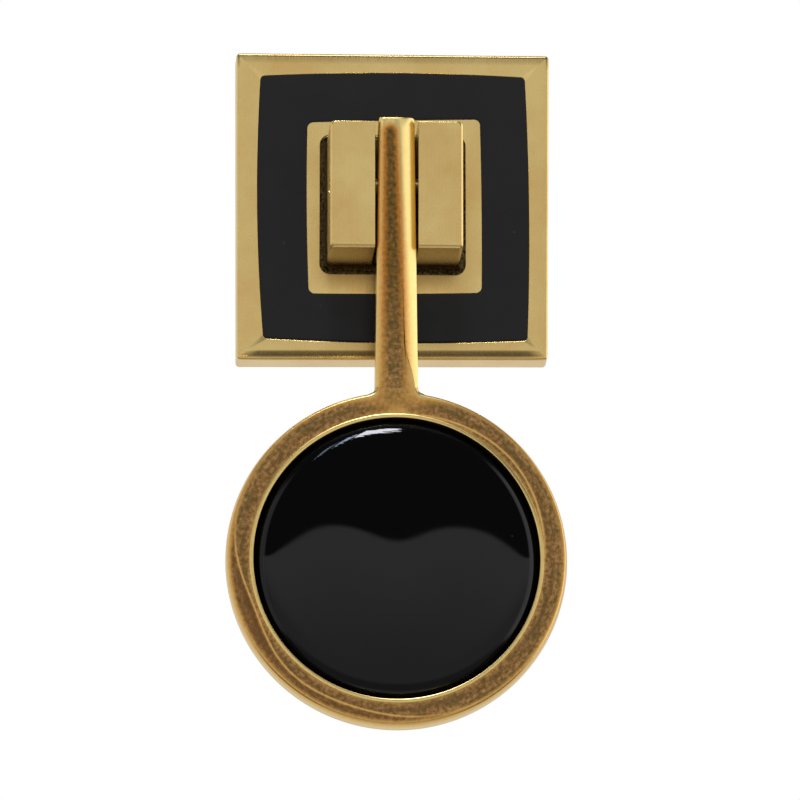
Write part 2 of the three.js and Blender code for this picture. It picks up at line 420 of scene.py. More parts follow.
# Only the slot's own edges are rounded: both their ends lie on one of its walls or on its floor.
def softenSlot(piece):
    mesh = piece.data
    points = np.empty(len(mesh.vertices) * 3)
    mesh.vertices.foreach_get("co", points)
    points = points.reshape(-1, 3) / mm
    ends = np.empty(len(mesh.edges) * 2, dtype=np.int64)
    mesh.edges.foreach_get("vertices", ends)
    ends = ends.reshape(-1, 2)
    near = 0.01
    wall = np.abs(np.abs(points[:, 0]) - block["slotWidth"] / 2) < near
    inside = points[:, 1] < block["slotFloor"] + near
    floor = np.abs(points[:, 1] - block["slotFloor"]) < near
    mask = ((wall & inside)[ends].all(axis=1)) | (floor[ends].all(axis=1))
    weights = mesh.attributes.new("bevel_weight_edge", "FLOAT", "EDGE")
    weights.data.foreach_set("value", mask.astype(np.float32))
    soften = piece.modifiers.new("soft slot", "BEVEL")
    soften.limit_method = "WEIGHT"
    soften.width = block["slotEdge"] * mm
    soften.segments = 4
    bake(piece)


clevisBlock = makeBlock()
print("pivot block made")


# ---- hinge pin ----

pin = {"chamfer": 0.15, "dome": 0.12, "straight": 0.35, "slack": 0.005}


def makePin():
    end = pinHigh[0]
    radius = pinRadius - pin["slack"]
    straight = end - pin["straight"]
    cosine, sine = quarterTurn(5)
    half = [((radius - pin["chamfer"]) * c, pin["dome"] * s) for c, s in zip(cosine, sine)][:-1]
    crown = [(r, end - pin["dome"] + rise) for r, rise in half][::-1]
    profile = [(r, -x) for r, x in crown] + [(radius, -straight), (radius, straight)] + crown[::-1]
    piece = surface("crossPin", turned(profile, 48, "x", y=pinY, z=pinZ))
    evenShading(piece)
    return piece


crossPin = makePin()


# ---- pendant: arm and ring ----

pendant = {
    "topHalf": 2.55,
    "footHalf": 3.05,
    "rightInset": (2.2, 1.9),  # width of the filed sides, at the arm's top and above the ring
    "leftInset": (0.6, 0.75),
    "insetFade": 0.17,  # the filed sides run out over this share of the arm, just above the ring
    "topInset": 0.2,
    "ringInset": 0.5,
    "backInset": 0.8,
    "edgeDepth": 0.35,  # the front edge is this deep, and this much more for each mm of its width
    "edgeSlope": 0.42,
    "filedPower": 1.75,
    "ringFrontDepth": 1.5,  # how much deeper the ring's edges are rounded than the arm's
    "ringBackDepth": 1.5,
    "fillet": 0.8,
    "topCorner": 0.2,
    "lipWidth": 0.55,  # the lip that holds the disc
    "lipHeight": 0.07,
    "discRadius": 20.42,
    "recessFloor": 1.4,
    "pinClearance": 0.06,
    "pinReach": 8.0,
    "outerSlope": 4.0,  # slopes of the two facets left by polishing, in degrees
    "innerSlope": 8.0,
    # Where the facets are: (width in mm, middle and spread round the ring in degrees).
    "outerFacet": [(2.2, 200, 24), (1.4, 252, 30)],
    "innerFacet": [(0.8, 42, 30)],
    # Wear from 0, tarnished, to 1, bright, and age from 0 to 1, darkest.
    "backWear": 0.36,
    "backEdgeWear": 0.4,  # added at the edge
    "backAge": 0.6,
    "sideWear": 0.55,
    "frontEdgeWear": 0.35,  # added at the edge
    "outerWear": (0.45, 0.35),  # beside the outer edge, and how wide
    "innerWear": (0.3, 0.3),  # beside the lip
    "ridgeWear": (0.6, 0.16),
    "junctionWear": (0.38, 4.0),
    "junctionZ": -30.5,
    "lipWear": 0.85,
    "bandAge": 0.55,  # in the outer facet
    "innerBand": (0.35, 1.1, 0.5),  # its age, distance from the lip and width
}


# The outline is walked from the arm's top, down its right side, round the ring and back up.
def pendantWalk():
    p = pendant
    filletX = p["footHalf"] + p["fillet"]
    filletRise = math.sqrt((ringRadius + p["fillet"]) ** 2 - filletX**2)
    filletZ = ringZ + filletRise
    meet = math.atan2(filletRise, filletX)
    across = np.linspace(0, p["topHalf"] - p["topCorner"], 5)
    topRun = np.stack([across, np.full_like(across, armTop)], axis=-1)
    turn = np.linspace(np.pi / 2, 0, 5)[1:]
    topCorner = np.stack([
        p["topHalf"] - p["topCorner"] + p["topCorner"] * np.cos(turn),
        armTop - p["topCorner"] + p["topCorner"] * np.sin(turn),
    ], axis=-1)
    down = np.linspace(0, 1, 60)[1:]
    side = np.stack([
        p["topHalf"] + (p["footHalf"] - p["topHalf"]) * down,
        armTop - p["topCorner"] + (filletZ - armTop + p["topCorner"]) * down,
    ], axis=-1)
    bend = np.linspace(np.pi, np.pi + meet, 11)[1:]
    fillet = np.stack([filletX + p["fillet"] * np.cos(bend), filletZ + p["fillet"] * np.sin(bend)], axis=-1)
    half = np.linspace(meet, -np.pi / 2, 180)[1:]
    ring = np.stack([ringRadius * np.cos(half), ringZ + ringRadius * np.sin(half)], axis=-1)
    stretches = (topRun, topCorner, side, fillet, ring)
    right = np.concatenate(stretches)
    kind = np.repeat(np.arange(len(stretches)), [len(stretch) for stretch in stretches])
    walk = np.concatenate([right, right[1:-1][::-1] * (-1, 1)])
    kinds = np.concatenate([kind, kind[1:-1][::-1]])
    return walk, kinds, (filletX, filletZ)


# The way from each outline point to the edge of the flat face. On the arm it leads to the middle
# line in proportion, on the fillets and the ring it leads straight in.
def towardsFace(walk, kinds, filletCentre, rightInset, leftInset, ringInset, topInset):
    x, z = walk.T
    filletX, filletZ = filletCentre
    share = np.clip((z - filletZ) / (armTop - filletZ), 0, 1)
    halfWidth = pendant["footHalf"] + (pendant["topHalf"] - pendant["footHalf"]) * share
    top = np.where(x > 0, rightInset[0], leftInset[0])
    foot = np.where(x > 0, rightInset[1], leftInset[1])
    run = np.clip(share / pendant["insetFade"], 0, 1)
    inset = ringInset + (foot + (top - foot) * share - ringInset) * run * run * (3 - 2 * run)
    arm = np.stack([-x / halfWidth * inset, -topInset * share], axis=-1)
    centre = np.stack([np.where(x > 0, filletX, -filletX), np.full_like(z, filletZ)], axis=-1)
    away = walk - centre
    away /= np.linalg.norm(away, axis=1, keepdims=True)
    fillet = away * ringInset
    fromRing = walk - (0, ringZ)
    ring = -fromRing / np.linalg.norm(fromRing, axis=1, keepdims=True) * ringInset
    return np.where((kinds <= 2)[:, None], arm, np.where((kinds == 3)[:, None], fillet, ring))


# Width of a polished facet round the ring: a sum of bell curves of the angle.
def facetWidth(facets, angle):
    turn = np.degrees(angle) % 360
    return sum(width * bell(turn - middle, spread) for width, middle, spread in facets)


def makePendant():
    p = pendant
    walk, kinds, filletCentre = pendantWalk()
    fromRing = walk - (0, ringZ)
    angle = np.arctan2(fromRing[:, 1], fromRing[:, 0])
    onRing = np.where(kinds == 4, 1.0, 0.0)
    outer, inner = (facetWidth(p[key], angle) * onRing for key in ("outerFacet", "innerFacet"))
    outerSlope, innerSlope = (math.tan(math.radians(p[key])) for key in ("outerSlope", "innerSlope"))
    cosine, sine = quarterTurn(10)
    rows, worn, age = [], [], []

    def addRow(loop, y, wear, tone):
        rows.append((loop, y))
        worn.append(np.broadcast_to(wear, len(loop)))
        age.append(np.broadcast_to(tone, len(loop)))

    inset = p["backInset"]
    back = towardsFace(walk, kinds, filletCentre, (inset, inset), (inset, inset), inset, inset)
    for c, s in zip(cosine[::-1], sine[::-1]):  # back edge, from the flat back out to the side
        y = pendantBack - (inset + p["ringBackDepth"] * onRing) * (1 - s)
        addRow(walk + back * (1 - c), y, p["backWear"] + p["backEdgeWear"] * (1 - s), p["backAge"] * s)
    insets = [p[key] for key in ("rightInset", "leftInset", "ringInset", "topInset")]
    front = towardsFace(walk, kinds, filletCentre, *insets)
    width = np.linalg.norm(front, axis=1)
    depth = p["edgeDepth"] + p["edgeSlope"] * width + p["ringFrontDepth"] * onRing
    # The arm's sides are nearly flat chamfers: a superellipse between a straight line and an ellipse.
    power = np.where(kinds == 2, p["filedPower"], 1.0)
    for c, s in zip(cosine, sine):  # front edge, from the side in to the flat face
        inwards, forwards = 1 - c**power, 1 - np.clip(s, 0, 1) ** power
        y = pendantFront + depth * forwards + outer * outerSlope * inwards
        addRow(walk + front * inwards[:, None], y, p["sideWear"] + p["frontEdgeWear"] * forwards, 0.0)
    faceEdge = walk + front
    rim = p["discRadius"] + p["lipWidth"]
    circle = np.stack([rim * np.cos(angle), ringZ + rim * np.sin(angle)], axis=-1)
    faceWidth = np.linalg.norm(faceEdge - circle, axis=1)
    (outerWear, outerWidth), (innerWear, innerWidth) = p["outerWear"], p["innerWear"]
    (ridgeWear, ridgeWidth), (junctionWear, junctionSize) = p["ridgeWear"], p["junctionWear"]
    bandAge, bandPlace, bandWidth = p["innerBand"]
    # The face: each facet drops in proportion to the way from its ridge, the ridges and both edges
    # are rubbed bright, and the facets are dark.
    for part in np.linspace(0, 1, 30)[1:]:
        fromOuter = faceWidth * part
        fromInner = faceWidth - fromOuter
        drop = np.maximum(outer - fromOuter, 0) * outerSlope + np.maximum(inner - fromInner, 0) * innerSlope
        ridge = ridgeWear * bell(fromOuter - outer, ridgeWidth) * np.clip(outer / 0.8, 0, 1)
        ridge += ridgeWear * bell(fromInner - inner, ridgeWidth) * np.clip(inner / 0.4, 0, 1)
        band = p["bandAge"] * np.clip(outer, 0, 1) * np.clip((outer - fromOuter) / 0.5, 0, 1)
        band += bandAge * bell(fromInner - bandPlace, bandWidth)
        loop = faceEdge + (circle - faceEdge) * part
        wear = outerWear * bell(fromOuter, outerWidth) + innerWear * bell(fromInner, innerWidth) + ridge
        wear += junctionWear * bell(np.hypot(loop[:, 0], loop[:, 1] - p["junctionZ"]), junctionSize)
        addRow(loop, pendantFront + drop, np.clip(wear, 0, 1), band * np.clip(1 - ridge, 0, 1))
    # The lip is half a flat ellipse across.
    for turn in np.linspace(0, np.pi, 13)[1:]:
        radius = p["discRadius"] + p["lipWidth"] * (1 + math.cos(turn)) / 2
        circle = np.stack([radius * np.cos(angle), ringZ + radius * np.sin(angle)], axis=-1)
        lipDrop = inner * innerSlope * (1 + math.cos(turn)) / 2
        addRow(circle, pendantFront - p["lipHeight"] * math.sin(turn) ** 0.6 + lipDrop, p["lipWear"], 0.0)
    for radius in (p["discRadius"], 0.5):
        circle = np.stack([radius * np.cos(angle), ringZ + radius * np.sin(angle)], axis=-1)
        addRow(circle, pendantBack - p["recessFloor"], 0.0, 0.5)
    piece = surface("pendantCasting", layers(rows), fields={"worn": np.stack(worn), "age": np.stack(age)})
    drillForPin(piece, p["pinClearance"], p["pinReach"])
    evenShading(piece)
    return piece


pendantCasting = makePendant()
print("pendant made")


# ---- domed disc ----

disc = {
    "radius": 20.38,
    "crownTilt": 9.0,  # degrees of tilt that the crown would reach at the edge
    "shoulderStart": 0.8,
    "shoulderTilt": 71.0,
    "back": discHigh[1],
    "waveTilt": 0.72,  # degrees, a slow unevenness from grinding
    "waveLength": 19.5,
    "waveReach": 15.0,
    "sideTilt": 2.4,  # and at the left and right edges
    "rippleHeight": 0.01,
    "rippleTurn": (0.5, 0.37),  # radians a millimetre, across and up
}


# The surface's tilt grows in proportion to the radius, and past the shoulder's start it grows by
# the cube of the distance as well. The height is the running sum of the tilt's tangent.
def makeDisc():
    d = disc
    share = np.concatenate([np.linspace(0.002, 0.8, 44), np.linspace(0.8, 1, 36)[1:]])
    past = np.clip((share - d["shoulderStart"]) / (1 - d["shoulderStart"]), 0, 1)
    slope = np.tan(np.radians(d["crownTilt"] * share + d["shoulderTilt"] * past**3))
    radius = share * d["radius"]
    steps = np.diff(radius) * (slope[1:] + slope[:-1]) / 2
    y = discLow[1] + np.concatenate([[0.0], np.cumsum(steps)])
    profile = list(zip(radius, y)) + [(d["radius"], d["back"] - 0.3), (d["radius"] - 0.3, d["back"])]
    grid = turned(profile, 192, "y", z=ringZ)
    x, z = grid[..., 0], grid[..., 2] - ringZ
    calm = bell(np.hypot(x, z), d["waveReach"])
    wave = math.radians(d["waveTilt"]) * z * np.cos(2 * np.pi * x / d["waveLength"]) * calm
    wave += math.radians(d["sideTilt"]) * z * (x / d["radius"]) ** 4
    across, up = d["rippleTurn"]
    ripple = np.sin(x * across + 1.0) * np.cos(z * up) * (np.hypot(x, z) < 0.95 * d["radius"])
    wave += d["rippleHeight"] * (1 - calm) * ripple
    grid[..., 1] += np.where(grid[..., 1] < d["back"] - 2.0, np.maximum(wave, discLow[1] - grid[..., 1]), 0)
    piece = surface("domedDisc", grid)
    evenShading(piece)
    print("disc edge at", round(float(y[-1]), 2), "mm, face of the ring at", round(float(pendantFront), 2))
    return piece


domedDisc = makeDisc()
print("disc made")


# ---- fixing screw and washer ----

screw = {
    "radius": 1.97,
    "pitch": 0.7,
    "threadDepth": 0.4,
    "turnSteps": 8,
    "flank": 1.15,  # how far the wave swings, before its root and its crest are cut flat
    "flats": (0.05, 0.85),
    "tipTaper": 0.9,
    "neckTaper": 0.7,
    "headHeight": 2.4,
    "headRim": 1.1,
    "headRound": 1.3,
    "headEase": 0.1,
    "driveWidth": 1.0,
    "driveDepth": 1.1,
}


# The thread's radius is a triangle wave of (distance along the screw minus turns round it).
def makeScrew():
    s = screw
    columns = 48
    tip = screwLow[1]
    headSeat = screwHigh[1] - s["headHeight"]
    rowCount = int((headSeat - tip) / s["pitch"] * s["turnSteps"])
    along = np.linspace(tip, headSeat, rowCount)
    angle = 2 * np.pi * np.arange(columns) / columns
    phase = (along[:, None] / s["pitch"] - angle[None, :] / (2 * np.pi)) % 1
    wave = 1 - np.abs(phase * 2 - 1) * s["flank"]
    fade = np.clip((along - tip) / s["tipTaper"], 0, 1) * np.clip((headSeat - along) / s["neckTaper"], 0, 1)
    root, crest = s["flats"]
    thread = np.clip(wave, root, crest) / crest * fade[:, None]
    radius = s["radius"] - s["threadDepth"] * (1 - thread)
    shank = np.stack([
        radius * np.cos(angle),
        np.broadcast_to(along[:, None], radius.shape),
        radius * np.sin(angle),
    ], axis=-1)
    headRadius = (screwHigh[0] - screwLow[0]) / 2
    cosine, sine = quarterTurn(8)
    ease = s["headEase"]
    rim = headSeat + s["headRim"]
    head = [(headRadius - ease, headSeat), (headRadius, headSeat + ease), (headRadius, rim)]
    for c, w in list(zip(cosine, sine))[1:]:
        head.append((headRadius - s["headRound"] * (1 - c), rim + (s["headHeight"] - s["headRim"]) * w))
    grid = np.concatenate([shank, turned(head, columns, "y")])
    piece = surface("fixingScrew", grid)
    loop = np.array([(right * s["driveWidth"] / 2, up * 9.0) for right, up in quarters])
    top = screwHigh[1]
    cutAway(piece, surface("drive cutter", layers([(loop, top - s["driveDepth"]), (loop, top + 3)])))
    evenShading(piece)
    return piece


washer = {"bore": 2.15, "edge": 0.12}


def makeWasher():
    bore, outer = washer["bore"], (washerHigh[0] - washerLow[0]) / 2
    front, back = washerLow[1], washerHigh[1]
    edge = washer["edge"]
    profile = [
        (bore, front + edge), (bore + edge, front), (outer - edge, front), (outer, front + edge),
        (outer, back - edge), (outer - edge, back), (bore + edge, back), (bore, back - edge),
    ]
    piece = surface("flatWasher", turned(profile, 72, "y"), ends="ring")
    evenShading(piece, sharpDegrees=25)
    return piece


fixingScrew = makeScrew()
flatWasher = makeWasher()
print("screw and washer made")


# ---- materials ----

def linear(code):  # an sRGB hex colour, turned to linear light
    values = [int(code[i:i + 2], 16) / 255 for i in (1, 3, 5)]
    return [v / 12.92 if v <= 0.04045 else ((v + 0.055) / 1.055) ** 2.4 for v in values] + [1.0]


# Adds a node with its settings, its inputs as values or links and, for a ramp, its stops of
# (place, colour), and gives back one of its outputs.
def addNode(tree, kind, inputs=None, out=0, stops=(), **settings):
    node = tree.nodes.new("ShaderNode" + kind)
    for key, value in settings.items():
        setattr(node, key, value)
    for key, value in (inputs or {}).items():
        if isinstance(value, bpy.types.NodeSocket):
            tree.links.new(value, node.inputs[key])
        else:
            node.inputs[key].default_value = value
    for _ in stops[2:]:
        node.color_ramp.elements.new(0.5)
    for number, (place, colour) in enumerate(stops):
        node.color_ramp.elements[number].position = place
        node.color_ramp.elements[number].color = colour
    return node.outputs[out] if node.outputs else None


def newMaterial(name):  # an empty material, and addNode tied to its tree
    material = bpy.data.materials.new(name)
    material.use_nodes = True
    material.node_tree.nodes.clear()
    return material, partial(addNode, material.node_tree)


# Every finish ends in one shader, with a fine relief that follows a height.
def closeMaterial(add, m, height, inputs):
    relief = add("Bump", {"Height": height, "Strength": m["bump"], "Distance": m["bumpHeight"] * mm})
    add("OutputMaterial", {"Surface": add("BsdfPrincipled", {"Normal": relief, **inputs})})


def perMetre(size):  # how many features of a size in millimetres fit in a metre
    return 1 / (size * mm)


satin = {
    "bareBrass": "#F7D98F",
    "warm": "#E6B96D",
    # the near-black colour of the painted shade
    "paintedShade": "#160E07",
    "dull": "#8F744A",
    "lineWidth": 0.16,  # brush lines are finer on the real one, and drawn as coarse as they show
    "lineLength": 5.0,
    "lineTint": 0.05,
    "tarnishSize": 8.0,
    "tarnishTint": 0.6,
    "grain": 0.35,
    "backStart": -0.6,  # the dull look comes in between these two, in mm before the drawer front
    "backFull": -0.2,
    "backDullness": 0.85,
    "backRoughness": 0.22,
    "roughness": (0.25, 0.28),
    "bump": 0.05,
    "bumpHeight": 0.01,
}


# Cast brass, filed flat and brushed by hand: a soft sheen with faint upright lines and a slight
# warm tarnish. The face that sits on the drawer was never polished, so it is dull and brown.
def satinBrass():
    m = satin
    material, add = newMaterial("satin brushed brass")
    where = add("TexCoord", out="Object")
    width, length = perMetre(m["lineWidth"]), perMetre(m["lineLength"])
    along = add("Mapping", {"Vector": where, "Scale": (width, width, length)})
    lines = add("TexNoise", {"Vector": along, "Scale": 1.0, "Detail": 3.0})
    clouds = add("TexNoise", {
        "Vector": where, "Scale": perMetre(m["tarnishSize"]), "Detail": 4.0, "Roughness": 0.6})
    grain = add("TexNoise", {"Vector": where, "Scale": perMetre(m["grain"]), "Detail": 2.0})
    warmth = add("MapRange", {
        "Value": clouds, "From Min": 0.35, "From Max": 0.7, "To Max": m["tarnishTint"]})
    streaks = add("MapRange", {
        "Value": lines, "From Min": 0.3, "From Max": 0.75, "To Max": m["lineTint"]})
    warmed = add("Math", {0: warmth, 1: streaks}, operation="ADD", use_clamp=True)
    brass = add("Mix", {
        0: warmed, 6: linear(m["bareBrass"]), 7: linear(m["warm"])}, data_type="RGBA", out=2)
    # Painted shade: the shade attribute, varied by the grain, mixes the brass towards near-black in
    # hollows, under the ears, in the slot and along edges.
    paintedShade = add("Attribute", attribute_name="paintedShade", out="Fac")
    uneven = add("MapRange", {
        "Value": grain, "From Min": 0.35, "From Max": 0.65, "To Min": 0.93, "To Max": 1.03})
    shadeAmount = add("Math", {0: paintedShade, 1: uneven}, operation="MULTIPLY", use_clamp=True)
    shaded = add("Mix", {0: shadeAmount, 6: brass, 7: linear(m["paintedShade"])}, data_type="RGBA", out=2)
    depth = add("SeparateXYZ", {"Vector": where}, out="Y")
    behind = add("MapRange", {
        "Value": depth, "From Min": m["backStart"] * mm, "From Max": m["backFull"] * mm,
        "To Max": m["backDullness"]})
    colour = add("Mix", {0: behind, 6: shaded, 7: linear(m["dull"])}, data_type="RGBA", out=2)
    smooth, coarse = m["roughness"]
    sheen = add("MapRange", {
        "Value": lines, "From Min": 0.3, "From Max": 0.7, "To Min": smooth, "To Max": coarse})
    rough = add("Math", {0: behind, 1: m["backRoughness"], 2: sheen}, operation="MULTIPLY_ADD")
    height = add("Math", {0: grain, 1: 0.6, 2: lines}, operation="MULTIPLY_ADD")
    closeMaterial(add, m, height, {"Base Color": colour, "Metallic": 1.0, "Roughness": rough})
    return material


patina = {
    "bright": "#FFE595",
    "honey": "#E0A85A",
    "rust": "#DC8C3C",
    "brown": "#9C713F",
    "tan": "#C09660",
    "green": "#75633A",
    "band": "#7B532F",
    "streak": "#8F672F",
    "umber": "#554A2B",
    "dull": "#8F744A",
    "mottle": 0.6,
    "patch": 3.6,
    "patchStretch": 5.0,  # the patches are this much longer along the ring than across it
    "grain": 0.2,
    "ringEnd": -32.5,  # heights between which the ring's wear gives way to the tongue
    "armStart": -28.0,
    "tongueFoot": -30.0,
    "tongueFull": -12.0,  # from here up the tongue is at its darkest
    "tongueMiddle": (-0.3, -0.95),  # in mm from the arm's middle line, at the ring and at the top
    "tongueHalf": (2.5, 1.1),
    "tongueEnd": (2.2, 1.0),  # mm below the arm's top, between which the end is rounded off
    "raggedness": 0.35,
    "backStart": 0.4,  # the dull look comes in between these two, in mm before the back
    "backFull": 0.1,
    "backDullness": 0.8,
    "roughness": (0.28, 0.36),
    "bump": 0.16,
    "bumpHeight": 0.02,
}


# Polished brass that has tarnished in the hand: the flats are a mottled brown with greenish
# patches, a dark tongue runs down the arm, and the edges that are rubbed stay bright yellow. The
# back, which is rarely touched, is a plain dull brown.
def agedBrass():
    m = patina
    material, add = newMaterial("tarnished polished brass")
    where = add("TexCoord", out="Object")
    worn = add("Attribute", attribute_name="worn", out="Fac")
    age = add("Attribute", attribute_name="age", out="Fac")
    mottle = add("TexNoise", {
        "Vector": where, "Scale": perMetre(m["mottle"]), "Detail": 4.0, "Roughness": 0.6})
    grain = add("TexNoise", {"Vector": where, "Scale": perMetre(m["grain"]), "Detail": 2.0})
    place = add("SeparateXYZ", {"Vector": where}).node.outputs
    # The patches change slowly from place to place, and quickly with the distance from the ring's
    # centre, so they run along the ring.
    below = add("Math", {0: place["Z"], 1: -ringZ * mm}, operation="ADD")
    spoke = add("CombineXYZ", {"X": place["X"], "Y": below})
    spoke = add("VectorMath", {0: spoke}, operation="LENGTH", out="Value")
    spoke = add("Math", {0: spoke, 1: m["patchStretch"]}, operation="MULTIPLY")
    drawn = add("CombineXYZ", {"X": place["X"], "Y": spoke, "Z": place["Z"]})
    patch = add("TexNoise", {
        "Vector": drawn, "Scale": perMetre(m["patch"]), "Detail": 4.0, "Roughness": 0.6})
    # The tongue: distance from its middle line as a share of its half width, with a rounded end.
    high = add("MapRange", {
        "Value": place["Z"], "From Min": m["tongueFoot"] * mm, "From Max": armTop * mm})
    middle, half = (add("MapRange", {
        "Value": high, "To Min": m[key][0] * mm, "To Max": m[key][1] * mm})
        for key in ("tongueMiddle", "tongueHalf"))
    aside = add("Math", {0: place["X"], 1: middle}, operation="SUBTRACT")
    across = add("Math", {0: aside, 1: half}, operation="DIVIDE")
    start, full = m["tongueEnd"]
    over = add("MapRange", {
        "Value": place["Z"], "From Min": (armTop - start) * mm, "From Max": (armTop - full) * mm,
        "To Max": 1.0}, clamp=False)
    over = add("Math", {0: over, 1: 0.0}, operation="MAXIMUM")
    away = add("CombineXYZ", {"X": across, "Y": over})
    away = add("VectorMath", {0: away}, operation="LENGTH", out="Value")
    clear = add("MapRange", {"Value": away, "From Min": 0.25, "From Max": 1.35, "To Max": 1.0})
    onArm = add("MapRange", {
        "Value": place["Z"], "From Min": m["ringEnd"] * mm, "From Max": m["armStart"] * mm})
    # Round the ring the wear comes with the mesh, on the arm from the tongue.
    wear = add("Mix", {0: onArm, 2: worn, 3: clear})
    ground = add("ValToRGB", {"Fac": mottle}, stops=[
        (0.34, linear(m["green"])), (0.44, linear(m["brown"])),
        (0.58, linear(m["tan"])), (0.72, linear(m["honey"]))], out="Color")
    dark = add("MapRange", {"Value": patch, "From Min": 0.45, "From Max": 0.6, "To Max": 0.75})
    flats = add("Mix", {0: dark, 6: ground, 7: linear(m["green"])}, data_type="RGBA", out=2)
    banded = add("Mix", {0: age, 6: flats, 7: linear(m["band"])}, data_type="RGBA", out=2)
    deep = add("ValToRGB", {"Fac": mottle}, stops=[
        (0.36, linear(m["umber"])), (0.62, linear(m["streak"])), (0.8, linear(m["honey"]))], out="Color")
    upper = add("MapRange", {
        "Value": place["Z"], "From Min": m["tongueFoot"] * mm, "From Max": m["tongueFull"] * mm,
        "To Max": 0.95})
    old = add("Mix", {0: upper, 6: banded, 7: deep}, data_type="RGBA", out=2)
    # The mottling makes the border of the wear ragged. Inside it comes a fringe, then bare metal.
    ragged = add("Math", {0: mottle, 1: -0.5}, operation="ADD")
    rubbed = add("Math", {
        0: ragged, 1: m["raggedness"], 2: wear}, operation="MULTIPLY_ADD", use_clamp=True)
    fringe = add("MapRange", {"Value": rubbed, "From Min": 0.05, "From Max": 0.5})
    edge = add("Mix", {
        0: upper, 6: linear(m["honey"]), 7: linear(m["rust"])}, data_type="RGBA", out=2)
    toHoney = add("Mix", {0: fringe, 6: old, 7: edge}, data_type="RGBA", out=2)
    bare = add("MapRange", {"Value": rubbed, "From Min": 0.4, "From Max": 1.0})
    polished = add("Mix", {0: bare, 6: toHoney, 7: linear(m["bright"])}, data_type="RGBA", out=2)
    behind = add("MapRange", {
        "Value": place["Y"], "From Min": (pendantBack - m["backStart"]) * mm,
        "From Max": (pendantBack - m["backFull"]) * mm, "To Max": m["backDullness"]})
    colour = add("Mix", {0: behind, 6: polished, 7: linear(m["dull"])}, data_type="RGBA", out=2)
    smooth, coarse = m["roughness"]
    rough = add("MapRange", {
        "Value": rubbed, "From Min": 0.0, "From Max": 0.9, "To Min": coarse, "To Max": smooth})
    height = add("Math", {0: grain, 1: 0.5, 2: mottle}, operation="MULTIPLY_ADD")
    closeMaterial(add, m, height, {"Base Color": colour, "Metallic": 1.0, "Roughness": rough})
    return material


inlay = {
    "black": "#080808",
    "brown": "#12100E",
    "fleck": "#4A4640",
    "cloud": 9.0,
    "ripple": 3.5,
    "speck": 5.0,
    "roughness": (0.24, 0.33),
    "ior": 1.4,
    "bump": 0.4,
    "bumpHeight": 0.04,
}


# Cold enamel, poured and rubbed flat: black with a soft shine, a faint ripple and a few specks.
def inlayEnamel():
    m = inlay
    material, add = newMaterial("black enamel, rubbed flat")
    where = add("TexCoord", out="Object")
    cloud = add("TexNoise", {"Vector": where, "Scale": perMetre(m["cloud"]), "Detail": 3.0})
    ripple = add("TexNoise", {"Vector": where, "Scale": perMetre(m["ripple"]), "Detail": 1.0})
    tint = add("Mix", {0: cloud, 6: linear(m["black"]), 7: linear(m["brown"])}, data_type="RGBA", out=2)
    dots = add("TexVoronoi", {"Vector": where, "Scale": perMetre(m["speck"])}, out="Distance")
    speck = add("MapRange", {
        "Value": dots, "From Min": 0.02, "From Max": 0.035, "To Min": 0.5, "To Max": 0.0})
    colour = add("Mix", {0: speck, 6: tint, 7: linear(m["fleck"])}, data_type="RGBA", out=2)
    smooth, coarse = m["roughness"]
    rough = add("MapRange", {
        "Value": cloud, "From Min": 0.3, "From Max": 0.7, "To Min": smooth, "To Max": coarse})
    closeMaterial(add, m, ripple, {"Base Color": colour, "Roughness": rough, "IOR": m["ior"]})
    return material


glaze = {
    "black": "#040405",
    "dustAndShade": "#3C3D40",
    "speck": 4.6,
    "smear": 6.0,
    "streakWidth": 0.4,
    "streakLength": 5.0,
    "streakTilt": 0.12,
    "streakStart": -41.5,  # the wiping streaks come in between these two heights
    "streakFull": -37.5,
    "roughness": (0.02, 0.05),
    "ior": 1.37,
    "bump": 0.5,
    "bumpHeight": 0.05,
}


# A polished black glass cabochon: almost no colour of its own, a sharp reflection that is broken
# up a little by fine wiping streaks, and a few specks of dust.
def domeGlass():
    m = glaze
    material, add = newMaterial("polished black glass")
    where = add("TexCoord", out="Object")
    smear = add("TexNoise", {"Vector": where, "Scale": perMetre(m["smear"]), "Detail": 3.0})
    width, length = perMetre(m["streakWidth"]), perMetre(m["streakLength"])
    tilted = add("Mapping", {
        "Vector": where, "Rotation": (0.0, m["streakTilt"], 0.0), "Scale": (length, length, width)})
    streak = add("TexNoise", {"Vector": tilted, "Scale": 1.0, "Detail": 2.0})
    dots = add("TexVoronoi", {"Vector": where, "Scale": perMetre(m["speck"])}, out="Distance")
    speck = add("MapRange", {
        "Value": dots, "From Min": 0.012, "From Max": 0.03, "To Min": 0.6, "To Max": 0.0})
    colour = add("Mix", {0: speck, 6: linear(m["black"]), 7: linear(m["dustAndShade"])}, data_type="RGBA", out=2)
    smooth, coarse = m["roughness"]
    rough = add("MapRange", {
        "Value": smear, "From Min": 0.35, "From Max": 0.7, "To Min": smooth, "To Max": coarse})
    # The wiping streaks are only near the top, where the shoulder catches the light.
    high = add("SeparateXYZ", {"Vector": where}, out="Z")
    top = add("MapRange", {
        "Value": high, "From Min": m["streakStart"] * mm, "From Max": m["streakFull"] * mm})
    streaks = add("Math", {0: streak, 1: top}, operation="MULTIPLY")
    closeMaterial(add, m, streaks, {"Base Color": colour, "Roughness": rough, "IOR": m["ior"]})
    return material


plating = {
    "bright": "#C4C2BB",
    "dull": "#8E8B84",
    "stain": 1.6,
    "grain": 0.2,
    "roughness": (0.28, 0.45),
    "bump": 0.3,
    "bumpHeight": 0.01,
}


